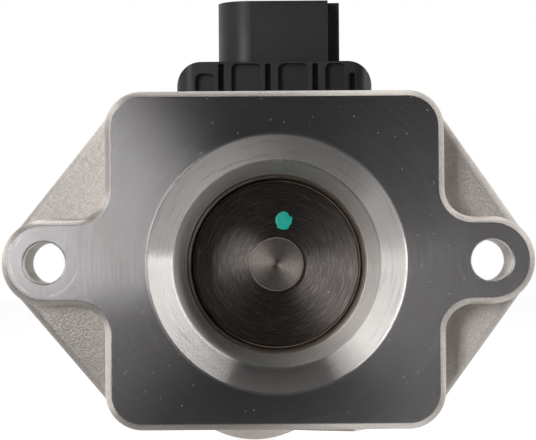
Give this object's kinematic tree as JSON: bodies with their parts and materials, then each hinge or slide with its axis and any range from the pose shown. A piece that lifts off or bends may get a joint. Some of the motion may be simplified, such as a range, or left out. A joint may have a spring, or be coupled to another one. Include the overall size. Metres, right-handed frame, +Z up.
{
  "type": "exhaust gas recirculation valve",
  "caption": "Electric exhaust gas recirculation valve: two-eared cast flange with a poppet disc in a round port, crank drive, gear train, motor and a ribbed cover with a plug socket.",
  "frame": {"origin": "where the axis of the round port meets the machined flange face", "axes": "+X across the flange to the right ear seen from the port side, +Y from the flange face into the valve along the port axis, +Z up, towards the gear cover and its socket"},
  "size_m": [0.1149, 0.1458, 0.1104],
  "materials": {
    "cast_body": "cast, machined faces",
    "hard_seat": "ground",
    "valve_steel": "turned, heat tinted",
    "stem_steel": "turned",
    "bronze": "sintered",
    "seal_rubber": "matt",
    "pressed_steel": "zinc plated",
    "spring_steel": "drawn",
    "machined_steel": "turned",
    "bearing_steel": "ground",
    "screw_steel": "zinc plated",
    "bush_brass": "turned",
    "gear_plastic": "moulded",
    "cover_plastic": "moulded, glass filled",
    "magnet_ferrite": "sintered",
    "core_steel": "laminated",
    "copper": "enamelled copper",
    "carbon": "pressed carbon",
    "tin_brass": "tin plated",
    "board": "solder mask",
    "chip": "moulded"
  },
  "bodies": {
    "body": {"valve_body": "cast_body", "seat_ring": "hard_seat", "stem_bushing": "bronze", "stem_seal": "seal_rubber", "seal_cap": "pressed_steel", "return_spring": "spring_steel", "needle_cup": "pressed_steel", "needle_rollers": "bearing_steel", "bearing_outer_ring": "bearing_steel", "bearing_balls": "bearing_steel", "bearing_circlip": "spring_steel", "idler_axle": "machined_steel", "idler_washer": "machined_steel", "motor_can": "pressed_steel", "motor_end_plate": "pressed_steel", "motor_screws": "screw_steel", "motor_magnets": "magnet_ferrite", "motor_bearings": "bronze", "motor_brushes": "carbon", "brush_holder": "cover_plastic", "motor_terminals": "tin_brass", "motor_damper": "seal_rubber", "drive_gasket": "seal_rubber", "drive_cover": "pressed_steel", "drive_cover_screws": "screw_steel", "gear_cover": "cover_plastic", "cover_gasket": "seal_rubber", "cover_bushes": "bush_brass", "cover_screws": "screw_steel", "connector_pins": "tin_brass", "sensor_board": "board", "sensor_chip": "chip", "motor_contacts": "tin_brass"},
    "output": {"crank_shaft": "machined_steel", "crank_pin": "machined_steel", "roller_clip": "spring_steel", "bearing_inner_ring": "bearing_steel", "sector_gear": "gear_plastic", "sector_clip": "spring_steel", "sensor_magnet": "magnet_ferrite"},
    "valve": {"valve_disc": "valve_steel", "valve_stem": "stem_steel", "spring_retainer": "pressed_steel", "stem_yoke": "machined_steel"},
    "idler": {"idler_gear": "gear_plastic"},
    "rotor": {"motor_shaft": "machined_steel", "armature_core": "core_steel", "armature_windings": "copper", "commutator": "copper", "motor_pinion": "machined_steel"},
    "roller": {"crank_roller": "machined_steel"}
  },
  "joints": [
    {"name": "output_turn", "type": "hinge", "parent": "body", "child": "output", "pos_m": [-0.00637, 0.07946, 0], "axis": [0, 0, -1], "range_deg": [0, 70]},
    {"name": "valve_lift", "type": "slide", "parent": "body", "child": "valve", "axis": [0, -1, 0], "range_m": [0, 0.00804], "deforming": ["return_spring"]},
    {"name": "idler_spin", "type": "hinge", "parent": "body", "child": "idler", "pos_m": [0.00265, 0.09687, 0], "axis": [0, 0, -1], "range_deg": [-215.93, 0]},
    {"name": "rotor_spin", "type": "hinge", "parent": "body", "child": "rotor", "pos_m": [-0.006, 0.114, 0], "axis": [0, 0, -1], "range_deg": [0, 770.93]},
    {"name": "roller_spin", "type": "hinge", "parent": "output", "child": "roller", "pos_m": [-0.00063, 0.08348, 0], "axis": [0, 0, -1], "continuous": true}
  ],
  "couplings": [
    {"joint": "valve_lift", "follows": "output_turn", "m_per_rad": 0.0065727},
    {"joint": "idler_spin", "follows": "output_turn", "ratio": -3.0833},
    {"joint": "rotor_spin", "follows": "output_turn", "ratio": 11.012}
  ]
}
